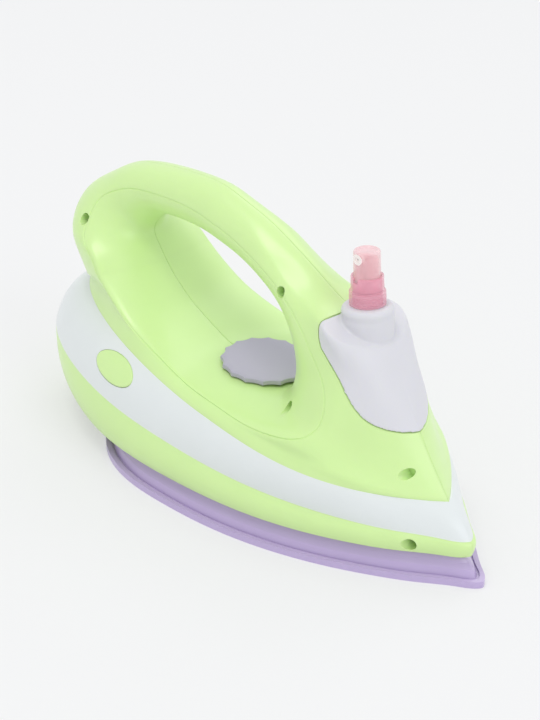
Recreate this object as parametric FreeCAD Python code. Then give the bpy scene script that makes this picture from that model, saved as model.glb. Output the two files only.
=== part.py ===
"""Toy iron: a play steam iron with a looped handle, a water bottle in its nose and a finger pump.

Frame: millimetres, +X towards the nose, +Z up, origin under the middle of the whole iron,
on the surface that it stands on.  The two moulded halves meet in the plane y = 0.
"""
import FreeCAD, Part
import math
import os

V = FreeCAD.Vector
os.makedirs("parts", exist_ok=True)

# ---------------------------------------------------------------- driving dimensions
NOSE_X = 137.0            # sole tip; the band's rear is at -137, so the iron is 274 long
WALL = 2.2                # moulded wall thickness
FIT = 0.35                # gap between a moving or dropped-in piece and its surround
BIG = 400.0               # half-space box size

# Level outlines, nose to rear: nose x behind the sole tip, length, half width, where along the
# length it is widest, front fullness, rear fullness, nose height, rise to the rear, nose radius.
SOLE = dict(nose=-0.3, length=219.7, half=57.6, widest=0.68, front=2.31, rear=2.24,
            z=0.0, rise=0.0, radius=2.0)
SKIRT_FOOT = dict(nose=-7.8, length=250.0, half=54.2, widest=0.63, front=2.71, rear=1.77,
                  z=11.5, rise=0.0, radius=2.2)
SKIRT_BELLY = dict(nose=-6.6, length=263.0, half=55.6, widest=0.61, front=2.71, rear=1.80,
                   z=16.5, rise=8.5, radius=2.8)
BAND_FOOT = dict(nose=-8.4, length=265.6, half=52.95, widest=0.60, front=2.72, rear=1.76,
                 z=18.4, rise=18.6, radius=2.0)
BAND_BELLY = dict(nose=-14.5, length=252.9, half=49.9, widest=0.54, front=3.0, rear=1.80,
                  z=25.5, rise=24.5, radius=1.6)
BAND_TOP = dict(nose=-22.5, length=232.0, half=44.1, widest=0.47, front=3.2, rear=1.66,
                z=31.4, rise=27.95, radius=1.5)

# Upper body stations round the handle's finger loop, rear first, over the handle to the nose.
# Each has the loop's edge at y = 0 (x, z), the crest of the step line (x, half width, z) and
# the top ridge at y = 0 (x, z).  The last entry shapes the cheek from crest to ridge: how full
# it is (0 = flat, 1 = round, more = squarer), or a shoulder point (x, half width, z).
REAR_FOOT = ((-69.0, 78.0), (-79.5, 32.0, 76.0), None, 0.6)
OVER = [
    ((-74.0, 84.0), (-89.0, 30.0, 84.3), (-119.5, 75.0), 0.9),
    ((-77.0, 88.0), (-96.5, 26.5, 90.0), (-122.5, 90.0), 1.0),
    ((-77.0, 93.0), (-97.5, 17.5, 103.0), (-117.5, 103.5), 1.0),
    ((-71.0, 99.5), (-88.5, 14.0, 109.5), (-100.5, 114.2), 1.0),
    ((-60.0, 103.5), (-75.0, 12.3, 114.2), (-81.5, 122.8), 1.0),
    ((-40.0, 104.3), (-43.9, 11.5, 116.4), (-38.0, 128.0), 1.0),
    ((-24.0, 102.5), (-26.6, 11.7, 114.8), (-18.0, 125.5), 1.0),
    ((-8.0, 99.3), (-9.2, 12.2, 111.7), (0.0, 121.0), 1.0),
    ((6.0, 94.5), (8.6, 13.5, 106.4), (16.5, 114.6), (12.0, 10.5, 112.0)),
    ((19.0, 87.0), (26.0, 15.3, 99.4), (34.7, 106.1), (30.8, 10.2, 103.2)),
    ((26.0, 78.0), (43.6, 18.9, 89.4), (53.2, 97.9), (51.0, 15.2, 97.5)),
    ((28.5, 70.0), (51.9, 20.5, 81.2), (71.8, 94.0), (63.0, 21.0, 95.0)),
    ((28.0, 61.0), (59.3, 21.5, 73.4), (81.5, 81.0), 1.25),
    ((26.0, 53.5), (65.0, 25.0, 64.7), (90.0, 66.5), 0.85),
    ((20.5, 48.8), (65.7, 28.5, 56.3), (99.8, 51.0), 0.5),
]
NOSE_FOOT = ((11.0, 49.4), (62.7, 34.3, 51.6), None, 0.3)
# Stations along the rim, nose to rear: loop edge, crest, place along BAND_TOP, fullness
# (below 0 = swelling outwards instead of first falling away).
ALONG = [
    ((6.5, 49.8), (58.7, 36.2, 50.1), 0.07, -0.5),
    ((2.0, 50.3), (52.6, 38.1, 48.8), 0.15, -0.45),
    ((-6.0, 51.0), (40.3, 39.6, 47.5), 0.25, -0.2),
    ((-13.0, 51.4), (27.6, 40.2, 47.6), 0.36, 0.0),
    ((-20.0, 51.9), (13.2, 39.6, 48.5), 0.45, 0.1),
    ((-27.0, 53.3), (-2.5, 38.8, 49.3), 0.53, 0.1),
    ((-35.0, 56.5), (-18.3, 37.5, 51.8), 0.60, 0.1),
    ((-44.0, 60.4), (-34.8, 36.0, 55.8), 0.68, 0.1),
    ((-53.0, 65.0), (-52.0, 34.8, 60.4), 0.76, 0.15),
    ((-62.0, 71.6), (-67.5, 33.4, 68.3), 0.87, 0.3),
]

# Sole plate
RIM_T = 3.0               # outer lip thickness
RIM_W = 3.2               # width of the lip outside its bead groove
SOLE_STEP = 8.5           # how far the raised deck stands in from the edge
SOLE_FACET = [(4.5, 5.8), (6.4, 7.9)]     # bright facet round the deck: inset, height
SOLE_FLOOR = 3.0          # floor under the hollow
SOLE_TOP = SKIRT_FOOT["z"]

# Water bottle in the nose
POCKET = [(54.2, 114.0), (54.2, 97.0), (54.5, 91.8), (56.4, 87.2), (61.2, 82.6),
          (68.2, 76.2), (74.2, 69.4), (81.0, 62.4), (87.2, 58.7), (92.8, 56.7),
          (97.0, 56.2), (118.0, 56.0), (118.0, 114.0)]
BOTTLE_WALL = 2.0
TOP_POINT = V(71.0, 0.0, 91.0)     # on the bottle's sloping top
TOP_SLOPE = 21.8          # degrees, down towards the nose
KEEL = ((54.0, -13.0, 61.0), (84.0, 13.0, 90.0))
NECK_R = 11.2             # shoulder round the screw neck
THREAD_R = 6.3
NECK_BORE_R = 4.6

# Finger pump, along its own axis from the foot of its screw cap
PUMP_FOOT = V(63.0, 0.0, 102.8)
PUMP_LEAN = -4.0          # degrees, top towards the handle
CAP_R = 7.75
CAP_STEP_Z = 6.2
CAP_R2 = 7.0
CAP_TOP = 12.6
HEAD_R = 5.65
HEAD_TOP = 23.8
NOZZLE_Z = 20.6
NOZZLE_R = 2.35
STROKE = 4.0

# Dial on the loop's floor
DIAL_CENTRE = V(0.6, 0.0, 53.4)
DIAL_TILT = 4.0           # degrees, towards the nose
DIAL_R = 20.2             # at the points between its finger scallops
DIAL_DIP_R = 19.05        # at the bottom of each scallop
DIAL_T = 2.2
DIAL_SCALLOPS = 16
DIAL_SHAFT_R = 4.0
DIAL_PAD_R = 9.0          # round pad under the dial, its bearing
DIAL_PAD_LOW = 9.0        # how far below the dial's face the pad ends
WASHER_R = 8.0
WASHER_T = 1.2

# Screws: x, z of the four case screws and the skirt screw, all along Y
CASE_SCREWS = [(-100.0, 94.4), (26.2, 99.3), (40.7, 53.2), (99.5, 41.7)]
SKIRT_SCREW = (109.3, 15.2)
SCREW_SEAT = 3.5          # seat of a case screw's head, off the parting plane
SCREW_BITE = 8.0          # how far its point reaches past the plane
SCREW_R = 1.4
SCREW_HEAD_R = 2.3
HEAD_T = 2.0              # thickness of a screw's head
RECESS_R = 2.6
BOSS_R = 4.2
SOLE_SCREWS = [(62.0, 24.0), (62.0, -24.0), (-46.0, 34.0), (-46.0, -34.0)]

# Oval plug in each side of the band
PLUG_AT = V(-50.7, 0.0, 43.5)
PLUG_LONG = 14.8          # half its length, along the band
PLUG_HIGH = 5.3           # half its height
PLUG_LEAN = 2.8           # degrees, nose end down
PLUG_PROUD = 0.4          # how far its face stands out of the band


# ---------------------------------------------------------------- small helpers
def save(name, shape):
    """Write one sub-part and say whether it is sound."""
    solids = shape.Solids
    body = solids[0] if len(solids) == 1 else Part.makeCompound(solids)
    body.exportStep("parts/%s.step" % name)
    box = body.optimalBoundingBox(False, False)
    print("%-20s solids %d valid %s volume %9.1f x %7.1f %7.1f y %6.1f %6.1f z %6.1f %6.1f"
          % (name, len(solids), body.isValid(), body.Volume,
             box.XMin, box.XMax, box.YMin, box.YMax, box.ZMin, box.ZMax))


def mirror(shape):
    """The same piece on the other side of the parting plane."""
    return shape.mirror(V(0, 0, 0), V(0, 1, 0))


def rod(radius, start, end):
    """Cylinder between two points."""
    return Part.makeCylinder(radius, (end - start).Length, start, end - start)


def pipe(outer, inner, start, end):
    """Tube between two points."""
    step = (end - start).normalize()
    return rod(outer, start, end).cut(rod(inner, start - step, end + step))


def near_half(shape):
    return shape.common(Part.makeBox(BIG * 2, BIG, BIG * 2, V(-BIG, -BIG, -BIG)))


def far_half(shape):
    return shape.common(Part.makeBox(BIG * 2, BIG, BIG * 2, V(-BIG, 0, -BIG)))


# ---------------------------------------------------------------- level outlines
def half_width(level, s):
    """Half width of a level outline at s, from 0 at its nose to 1 at its rear."""
    if s < level["widest"]:
        return level["half"] * (1 - (1 - s / level["widest"]) ** level["front"])
    back = (s - level["widest"]) / (1 - level["widest"])
    return level["half"] * math.sqrt(max(0.0, 1 - back ** level["rear"]))


def level_point(level, s):
    """Point of the near (-Y) side of a level outline."""
    x = NOSE_X + level["nose"] - level["length"] * s
    return V(x, -half_width(level, s), level["z"] + level["rise"] * s)


def inset(level, d, dz=0.0):
    """The same outline moved inwards by d and up by dz."""
    slope = level["half"] * level["front"] / (level["widest"] * level["length"])
    nose_step = d * math.sqrt(1 + slope * slope) / slope
    new = dict(level)
    new["nose"] = level["nose"] - nose_step
    new["length"] = level["length"] - nose_step - d
    new["half"] = level["half"] - d
    new["radius"] = max(0.6, level["radius"] - d)
    new["z"] = level["z"] + dz + level["rise"] * nose_step / level["length"]
    new["rise"] = level["rise"] * new["length"] / level["length"]
    return new


PLACES = (0.04, 0.10, 0.17, 0.26, 0.37, 0.50, 0.63, 0.75, 0.85, 0.92, 0.97, 0.992, 1.0)


def near_points(level):
    """Points of the near side, with the nose rounded to its radius."""
    slope = level["half"] * level["front"] / (level["widest"] * level["length"])
    angle = math.atan(slope)
    radius = level["radius"]
    centre_x = NOSE_X + level["nose"] - radius / math.sin(angle)
    points = []
    for step in range(2):
        turn = (math.pi / 2 - angle) * step * 0.8
        x = centre_x + radius * math.cos(turn)
        s = (NOSE_X + level["nose"] - x) / level["length"]
        points.append(V(x, -radius * math.sin(turn), level["z"] + level["rise"] * s))
    for s in PLACES:
        points.append(level_point(level, s))
    return points


def mirrored(p):
    return V(p.x, -p.y, p.z)


def smooth_side(points):
    """Curve through the points of one side, square to the parting plane at both ends."""
    extended = [mirrored(points[1])] + points + [mirrored(points[-2])]
    places = [0.0]
    for a, b in zip(extended, extended[1:]):
        places.append(places[-1] + (b - a).Length)
    curve = Part.BSplineCurve()
    curve.interpolate(Points=extended, Parameters=places)
    curve.segment(places[1], places[-2])
    return curve.toShape()


def outline(level):
    """Closed wire of a level outline: near side, then far side."""
    near = near_points(level)
    far = [mirrored(p) for p in reversed(near)]
    return Part.Wire([smooth_side(near), smooth_side(far)])


def stack(levels, faceted=False):
    """Solid through level outlines, bottom first; faceted leaves an edge at each level."""
    return Part.makeLoft([outline(level) for level in levels], True, faceted)


# ---------------------------------------------------------------- upper body form
def shouldered(top, shoulder, ridge):
    """Four points from the crest over a shoulder to a slightly crowned top."""
    corner = V(shoulder.x, top.y, shoulder.z)
    flank = (top + shoulder) * 0.375 + corner * 0.25
    crown = ridge + (shoulder - ridge) * 0.3
    crown.y = shoulder.y * 0.5
    return [flank, shoulder, crown, ridge]


def section(loop_edge, crest, ridge, shape, on_rim):
    """Nine points across the near cheek: loop edge, crest of the step line, ridge or rim."""
    edge = V(loop_edge[0], 0, loop_edge[1])
    top = V(crest[0], -crest[1], crest[2])
    points = []
    for step in range(5):
        turn = math.pi / 2 * step / 4
        points.append(V(top.x + (edge.x - top.x) * math.cos(turn),
                        top.y * math.sin(turn),
                        top.z + (edge.z - top.z) * math.cos(turn)))
    if isinstance(shape, V):
        return points + shouldered(top, shape, ridge)
    fullness = min(shape, 1.0)
    power = 1.0 / max(shape, 1.0)
    for step in range(1, 5):
        turn = math.pi / 2 * step / 4
        rise = math.sin(turn) ** power
        fall = max(math.cos(turn), 0.0) ** power
        if on_rim:
            round_point = V(ridge.x + (top.x - ridge.x) * fall,
                            top.y + (ridge.y - top.y) * rise,
                            ridge.z + (top.z - ridge.z) * fall)
        else:
            round_point = V(top.x + (ridge.x - top.x) * rise,
                            top.y * fall,
                            top.z + (ridge.z - top.z) * rise)
        flat_point = top + (ridge - top) * (step / 4)
        points.append(round_point * fullness + flat_point * (1 - fullness))
    return points


def shifted(line, closed, by):
    """Points of a line in the x-z plane moved to its left by a distance."""
    moved = []
    count = len(line)
    for i, (x, z) in enumerate(line):
        before = line[i - 1] if closed else line[max(i - 1, 0)]
        after = line[(i + 1) % count] if closed else line[min(i + 1, count - 1)]
        run = V(after[0] - before[0], 0, after[1] - before[1]).normalize()
        moved.append((x - run.z * by, z + run.x * by))
    return moved


def stations(wall, drop):
    """Sections over the top and along the rim, moved inwards by wall; rim lowered by drop."""
    rim = inset(BAND_TOP, wall, -drop) if wall else BAND_TOP
    nose = level_point(rim, 0.0)
    rear = level_point(rim, 1.0)
    ring = [REAR_FOOT] + OVER + [NOSE_FOOT] + ALONG
    loop = shifted([s[0] for s in ring], True, wall)
    ridge_line = [s[2] for s in OVER]
    ridge_line = shifted([(rear.x, rear.z)] + ridge_line + [(nose.x, nose.z)], False, -wall)
    over = []
    along = []
    for i, (_, crest, end, shape) in enumerate(ring):
        on_rim = i > len(OVER) + 1
        crest_drop = wall * 0.5 if on_rim else 0.0
        top = (crest[0], crest[1] - wall, crest[2] - crest_drop)
        if i == 0:
            ridge = rear
        elif i == len(OVER) + 1:
            ridge = nose
        elif on_rim:
            ridge = level_point(rim, end)
        else:
            ridge = V(ridge_line[i][0], 0, ridge_line[i][1])
        if isinstance(shape, tuple):
            shape = V(shape[0] + ridge.x - end[0], wall - shape[1], shape[2] + ridge.z - end[1])
        points = section(loop[i], top, ridge, shape, on_rim)
        if i <= len(OVER) + 1:
            over.append(points)
        if i > len(OVER):
            along.append(points)
    along.append(over[0])
    return over, along


def fitted_surface(rows):
    """Smooth surface through a grid of points, with even spacing both ways."""
    across = len(rows[0])
    along = len(rows)
    v_places = [i / (across - 1) for i in range(across)]
    u_places = [i / (along - 1) for i in range(along)]
    row_poles = []
    for row in rows:
        curve = Part.BSplineCurve()
        curve.interpolate(Points=row, Parameters=v_places)
        row_poles.append(curve.getPoles())
    v_knots, v_mults = curve.getKnots(), curve.getMultiplicities()
    columns = []
    for j in range(len(row_poles[0])):
        curve = Part.BSplineCurve()
        curve.interpolate(Points=[poles[j] for poles in row_poles], Parameters=u_places)
        columns.append(curve.getPoles())
    u_knots, u_mults = curve.getKnots(), curve.getMultiplicities()
    poles = [[column[i] for column in columns] for i in range(len(columns[0]))]
    surface = Part.BSplineSurface()
    surface.buildFromPolesMultsKnots(poles, u_mults, v_mults, u_knots, v_knots,
                                     False, False, 3, 3)
    return surface


def cheek(wall=0.0, drop=0.0):
    """Solid between the near cheek's surface and the parting plane."""
    over, along = stations(wall, drop)
    top_side = fitted_surface(over)
    rim_side = fitted_surface(along)
    ridge = top_side.vIso(1.0).toShape()
    rim = rim_side.vIso(1.0).toShape()
    hole = Part.Wire([top_side.vIso(0.0).toShape(), rim_side.vIso(0.0).toShape()])
    nose, rear = over[-1][-1], over[0][-1]
    base_line = Part.makeLine(nose, rear)
    outer = Part.Wire([ridge, base_line])
    side = Part.Face([outer, hole], "Part::FaceMakerBullseye")
    bottom = Part.Face(Part.Wire([rim, base_line.copy()]))
    skin = Part.Compound([top_side.toShape(), rim_side.toShape(), side, bottom])
    skin.sewShape(0.01)
    shell = skin.Shells[0] if skin.Shells else Part.Shell(skin.Faces)
    solid = Part.Solid(shell)
    if solid.Volume < 0:
        solid.reverse()
    return solid


def both(shape):
    """A near-side solid and its mirror image, joined."""
    return shape.fuse(mirror(shape)).removeSplitter()


# ---------------------------------------------------------------- the outer forms
near_form = cheek()
near_core = cheek(WALL, 3.0)
near_core.translate(V(0, 1.0, 0))
skirt_form = stack([SKIRT_FOOT, SKIRT_BELLY, BAND_FOOT])
skirt_core = stack([inset(SKIRT_FOOT, WALL, WALL), inset(SKIRT_BELLY, WALL),
                    inset(BAND_FOOT, WALL), inset(BAND_FOOT, WALL, 3.0)])
band_form = stack([BAND_FOOT, BAND_BELLY, BAND_TOP])
band_core = stack([inset(BAND_FOOT, WALL, -3.0), inset(BAND_FOOT, WALL),
                   inset(BAND_BELLY, WALL), inset(BAND_TOP, WALL), inset(BAND_TOP, WALL, 3.0)])


# ---------------------------------------------------------------- screws
def screw(seat, along, length, head_r=SCREW_HEAD_R):
    """Pan-head screw with a cross recess, from its head seat along a direction."""
    along = V(along).normalize()
    head = rod(head_r, seat - along * HEAD_T, seat)
    head = head.makeFillet(0.7, [e for e in head.Edges
                                 if e.Curve.TypeId == "Part::GeomCircle"
                                 and (e.Curve.Center - (seat - along * HEAD_T)).Length < 0.01])
    shank = rod(SCREW_R, seat, seat + along * (length - 1.2))
    point = Part.makeCone(SCREW_R, 0.5, 1.2, seat + along * (length - 1.2), along)
    side = along.cross(V(1, 0, 0))
    if side.Length < 0.1:
        side = along.cross(V(0, 0, 1))
    side.normalize()
    other = along.cross(side)
    top = seat - along * HEAD_T
    body = head.fuse([shank, point])
    for a, b in ((side, other), (other, side)):
        corner = top - a * 1.5 - b * 0.3 - along * 0.1
        slot = Part.makePolygon([corner, corner + a * 3.0, corner + a * 3.0 + b * 0.6,
                                 corner + b * 0.6, corner])
        body = body.cut(Part.Face(slot).extrude(along * 1.1))
    return body


def screwed(near, far, near_room, far_room, places):
    """Bosses, sunk head holes and pilot holes for screws along Y through both halves."""
    length = SCREW_SEAT + SCREW_BITE
    for x, z in places:
        near_boss = rod(BOSS_R, V(x, -BIG, z), V(x, 0, z)).common(near_room)
        far_boss = rod(BOSS_R, V(x, 0, z), V(x, BIG, z)).common(far_room)
        near = near.fuse(near_boss)
        near = near.cut(rod(RECESS_R, V(x, -BIG, z), V(x, -SCREW_SEAT, z)))
        near = near.cut(rod(SCREW_R + 0.15, V(x, -BIG, z), V(x, 1, z)))
        far = far.fuse(far_boss).cut(rod(SCREW_R, V(x, -1, z), V(x, SCREW_BITE + 0.4, z)))
    screws = [screw(V(x, -SCREW_SEAT, z), V(0, 1, 0), length) for x, z in places]
    return near, far, screws


# ---------------------------------------------------------------- sole plate
deck_low = inset(SOLE, RIM_W, RIM_T - 0.8)
deck_top = inset(SOLE, SOLE_STEP, SOLE_TOP)
rim_top = dict(SOLE, z=RIM_T)
sole = stack([SOLE, rim_top])
bead = stack([inset(SOLE, RIM_W - 1.0, RIM_T - 0.8), inset(SOLE, RIM_W - 1.0, RIM_T + 1)])
deck = [deck_low] + [inset(SOLE, d, z) for d, z in SOLE_FACET] + [deck_top]
sole = sole.cut(bead).fuse(stack(deck, True))
hollow = stack([inset(SOLE, RIM_W + 3.5, SOLE_FLOOR), inset(SOLE, SOLE_STEP + 2.5, SOLE_TOP + 1)])
sole = sole.cut(hollow)
sole_screws = []
for x, y in SOLE_SCREWS:
    sole = sole.fuse(rod(BOSS_R, V(x, y, SOLE_FLOOR - 1), V(x, y, SOLE_TOP)))
    sole = sole.cut(rod(RECESS_R + 0.6, V(x, y, -1), V(x, y, 5)))
    sole = sole.cut(rod(SCREW_R + 0.15, V(x, y, 0), V(x, y, SOLE_TOP + 1)))
    sole_screws.append(screw(V(x, y, 5), V(0, 0, 1), 12.5, SCREW_HEAD_R + 0.5))
save("soleplate", sole.removeSplitter())
save("sole_screws", Part.makeCompound(sole_screws))

# ---------------------------------------------------------------- skirt
skirt = skirt_form.cut(skirt_core)
for x, y in SOLE_SCREWS:
    skirt = skirt.fuse(rod(BOSS_R, V(x, y, SOLE_TOP), V(x, y, SOLE_TOP + 8)))
    skirt = skirt.cut(rod(SCREW_R, V(x, y, SOLE_TOP - 1), V(x, y, SOLE_TOP + 7)))
skirt_near, skirt_far, skirt_screws = screwed(near_half(skirt), far_half(skirt),
                                              near_half(skirt_form), far_half(skirt_form),
                                              [SKIRT_SCREW])
save("skirt_left", skirt_near)
save("skirt_right", skirt_far)

# ---------------------------------------------------------------- band and its oval plugs
def plug_prism(grow):
    """Block behind the plug's oval outline in the near side, grown outwards all round."""
    oval = Part.Ellipse(V(0, 0, 0), PLUG_LONG + grow, PLUG_HIGH + grow).toShape()
    block = Part.Face(Part.Wire([oval])).extrude(V(0, 0, 60))
    block.rotate(V(0, 0, 0), V(1, 0, 0), 90)
    block.rotate(V(0, 0, 0), V(0, 1, 0), PLUG_LEAN)
    block.translate(PLUG_AT - V(0, 20, 0))
    return block


band = band_form.cut(band_core)
band_near = near_half(band).cut(plug_prism(FIT / 2))
plug_form = stack([inset(level, -PLUG_PROUD) for level in (BAND_FOOT, BAND_BELLY, BAND_TOP)])
plug_core = stack([inset(BAND_FOOT, WALL + 1.6, -3.0), inset(BAND_FOOT, WALL + 1.6),
                   inset(BAND_BELLY, WALL + 1.6), inset(BAND_TOP, WALL + 1.6),
                   inset(BAND_TOP, WALL + 1.6, 3.0)])
plug_head = plug_prism(0).common(plug_form).cut(plug_core)
face_y = min(e.CenterOfMass.y for e in plug_head.Edges)
plug_head = plug_head.makeFillet(0.6, [e for e in plug_head.Edges
                                       if e.CenterOfMass.y < face_y + 1.0])
plug_flange = plug_prism(1.6).common(band_core).cut(plug_core)
plug = plug_head.fuse(plug_flange)
save("band_left", band_near)
save("band_right", mirror(band_near))
save("band_plug_left", plug)
save("band_plug_right", mirror(plug))


# ---------------------------------------------------------------- water bottle and its pocket
def pocket_prism(grow):
    """Block behind the bottle's tongue-shaped outline, grown outwards all round."""
    points = []
    for i, (x, z) in enumerate(POCKET[:-1]):
        before = POCKET[max(i - 1, 0)]
        after = POCKET[min(i + 1, len(POCKET) - 2)]
        run = V(after[0] - before[0], 0, after[1] - before[1]).normalize()
        points.append(V(x + run.z * grow, -BIG / 2, z - run.x * grow))
    curve = Part.BSplineCurve()
    curve.interpolate(points)
    top = V(points[-1].x, -BIG / 2, 140.0)
    corner = V(points[0].x, -BIG / 2, 140.0)
    wire = Part.Wire([curve.toShape(), Part.makeLine(points[-1], top),
                      Part.makeLine(top, corner), Part.makeLine(corner, points[0])])
    return Part.Face(wire).extrude(V(0, BIG, 0))


def keel(grow):
    """Hidden lower part of the bottle, a block with rounded upright corners."""
    (x0, y0, z0), (x1, y1, z1) = KEEL
    block = Part.makeBox(x1 - x0 + 2 * grow, y1 - y0 + 2 * grow, z1 - z0 + 2 * grow,
                         V(x0 - grow, y0 - grow, z0 - grow))
    edges = [e for e in block.Edges if abs(e.tangentAt(e.FirstParameter).z) > 0.9]
    return block.makeFillet(5.0 + grow, edges)


def along_pump(r, z):
    """Point in the pump's own frame: r across (towards the nose), z up its axis."""
    return PUMP_FOOT + PUMP_X * r + PUMP_Z * z


lean = math.radians(PUMP_LEAN)
PUMP_Z = V(math.sin(lean), 0, math.cos(lean))
PUMP_X = V(math.cos(lean), 0, -math.sin(lean))


def turned(profile):
    """Solid of revolution about the pump's axis from (radius, height) points."""
    points = [along_pump(r, z) for r, z in profile]
    wire = Part.makePolygon(points + points[:1])
    return Part.Face(wire).revolve(PUMP_FOOT, PUMP_Z, 360)


def above_top(drop):
    """Everything above the bottle's sloping top, lowered by drop."""
    block = Part.makeBox(BIG, BIG, BIG, V(-BIG / 2, -BIG / 2, 0))
    block.rotate(V(0, 0, 0), V(0, 1, 0), TOP_SLOPE)
    block.translate(TOP_POINT - V(0, 0, drop))
    return block


form = both(near_form)
bottle_skin = form.common(pocket_prism(-FIT)).cut(above_top(0))
inner_form = both(cheek(BOTTLE_WALL, 3.0))
bottle_room = inner_form.common(pocket_prism(-FIT - BOTTLE_WALL)).cut(above_top(BOTTLE_WALL))
neck = turned([(0, -16), (NECK_R, -16), (NECK_R, -6.5), (NECK_R - 0.25, -4.5), (NECK_R, -2.6),
               (NECK_R - 0.35, -1.4), (NECK_R - 1.2, -0.5), (NECK_R - 2.4, -0.1),
               (CAP_R + 0.5, 0.0), (0, 0.0)])
neck = neck.common(above_top(1.0))
spout = turned([(0, -3), (THREAD_R, -3), (THREAD_R, 3.55), (0, 3.55)])
bore = turned([(0, -14), (NECK_BORE_R, -14), (NECK_BORE_R, 5), (0, 5)])
neck_room_r = NECK_R - BOTTLE_WALL
neck_room = turned([(0, -16), (neck_room_r, -16), (neck_room_r, -3.6), (0, -3.6)])
lower = keel(0).common(inner_form)
lower_room = keel(-1.8).common(both(cheek(BOTTLE_WALL + 1.8, 5.0)))
bottle = bottle_skin.fuse(lower).fuse(neck).fuse(spout)
for room in (bottle_room, lower_room, neck_room, bore):
    bottle = bottle.cut(room)
save("water_bottle", bottle)

# ---------------------------------------------------------------- upper body halves
shell = near_form.cut(near_core)
shell_near = near_half(shell)
shell_far = mirror(shell_near)
far_form = mirror(near_form)
shell_near, shell_far, case_screws = screwed(shell_near, shell_far, near_form, far_form,
                                             CASE_SCREWS)
tilt = math.radians(DIAL_TILT)
DIAL_Z = V(math.sin(tilt), 0, math.cos(tilt))
DIAL_X = V(math.cos(tilt), 0, -math.sin(tilt))


def on_dial(r, z):
    return DIAL_CENTRE + DIAL_X * r + DIAL_Z * z


pad = rod(DIAL_PAD_R, on_dial(0, -DIAL_T - FIT), on_dial(0, -DIAL_PAD_LOW))
shaft_hole = rod(DIAL_SHAFT_R + 0.08, on_dial(0, 5), on_dial(0, -20))
pocket = pocket_prism(0.0).fuse(keel(FIT))
neck_place = turned([(0, -16), (NECK_R + FIT, -16), (NECK_R + FIT, 9), (0, 9)])
neck_place = neck_place.common(above_top(1.0 + FIT))
shell_near = shell_near.fuse(near_half(pad)).cut(shaft_hole).cut(pocket).cut(neck_place)
shell_far = shell_far.fuse(far_half(pad)).cut(shaft_hole).cut(pocket).cut(neck_place)
save("upper_shell_left", shell_near)
save("upper_shell_right", shell_far)
save("case_screws", Part.makeCompound(case_screws + skirt_screws))

# ---------------------------------------------------------------- dial
def dial_point(r, count):
    """Point of the dial's face, count half scallops round from its nose side."""
    turn = math.pi * count / DIAL_SCALLOPS
    return DIAL_CENTRE + DIAL_X * (r * math.cos(turn)) + V(0, r * math.sin(turn), 0)


scallops = []
for i in range(DIAL_SCALLOPS):
    arc = Part.Arc(dial_point(DIAL_R, 2 * i), dial_point(DIAL_DIP_R, 2 * i + 1),
                   dial_point(DIAL_R, 2 * i + 2))
    scallops.append(arc.toShape())
dial = Part.Face(Part.Wire(scallops)).extrude(DIAL_Z * -DIAL_T)
shaft_end = -DIAL_PAD_LOW - FIT
washer_end = shaft_end - WASHER_T
dial = dial.fuse(rod(DIAL_SHAFT_R, on_dial(0, -1), on_dial(0, shaft_end)))
dial = dial.cut(rod(SCREW_R, on_dial(0, -4), on_dial(0, -12)))
save("dial", dial.removeSplitter())
save("dial_washer", pipe(WASHER_R, SCREW_R + 0.15, on_dial(0, shaft_end), on_dial(0, washer_end)))
save("dial_screw", screw(on_dial(0, washer_end), DIAL_Z, 6.0))

# ---------------------------------------------------------------- finger pump
cap = turned([(THREAD_R + 0.08, 0), (CAP_R, 0), (CAP_R, CAP_STEP_Z - 0.3), (CAP_R - 0.3, CAP_STEP_Z),
              (CAP_R2 + 0.1, CAP_STEP_Z), (CAP_R2, CAP_STEP_Z + 0.4), (CAP_R2 - 0.1, CAP_TOP),
              (6.15, CAP_TOP), (6.15, 6.8), (2.4, 6.8), (2.4, 5.25),
              (THREAD_R + 0.08, 5.25)])
for side in (1, -1):
    notch = Part.makeBox(3.0, 3.0, 3.0, V(-1.5, side * 6.5 - 1.5, -2.0))
    notch.Placement = FreeCAD.Placement(along_pump(0, CAP_TOP),
                                        FreeCAD.Rotation(V(0, 1, 0), PUMP_LEAN))
    cap = cap.cut(notch)
save("pump_collar", cap)
save("pump_gasket", turned([(3.7, 3.6), (6.2, 3.6), (6.2, 4.2), (3.7, 4.2)]))
housing = turned([(2.9, -13.0), (2.9, 5.2), (6.2, 5.2), (6.2, 4.2), (3.7, 4.2), (3.7, -13.5),
                  (2.6, -15.0), (2.6, -20.0), (1.6, -20.0), (1.6, -16.5), (1.0, -16.0),
                  (1.0, -14.2), (1.45, -13.6), (1.45, -13.0)])
save("pump_housing", housing)
save("stem_guide", turned([(1.98, 2.4), (2.9, 2.4), (2.9, 5.2), (1.98, 5.2)]))
stem = turned([(0.9, -1.0), (1.9, -1.0), (1.9, 17.5), (0.9, 17.5)])
save("pump_stem", stem)
save("pump_piston", turned([(0.9, -4.4), (2.84, -4.4), (2.84, -3.4), (2.4, -3.0), (2.4, -2.4),
                            (2.84, -2.0), (2.84, -1.0), (0.9, -1.0)]))
save("dip_tube", turned([(0.9, -37.5), (1.6, -37.5), (1.6, -16.6), (0.9, -16.6)]))
ball = Part.makeSphere(1.25, along_pump(0, -13.0))
save("pump_ball", ball)
spring_low, spring_high, coils = -12.6, -4.7, 5
helix = Part.makeHelix((spring_high - spring_low) / coils, spring_high - spring_low, 2.2)
wire_face = Part.Face(Part.Wire([Part.makeCircle(0.28, V(2.2, 0, 0), V(0, 1, 0))]))
spring = Part.Wire(helix.Edges).makePipeShell([wire_face.OuterWire], True, True)
spring.Placement = FreeCAD.Placement(along_pump(0, spring_low),
                                     FreeCAD.Rotation(V(0, 1, 0), PUMP_LEAN))
save("pump_spring", spring)
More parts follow.
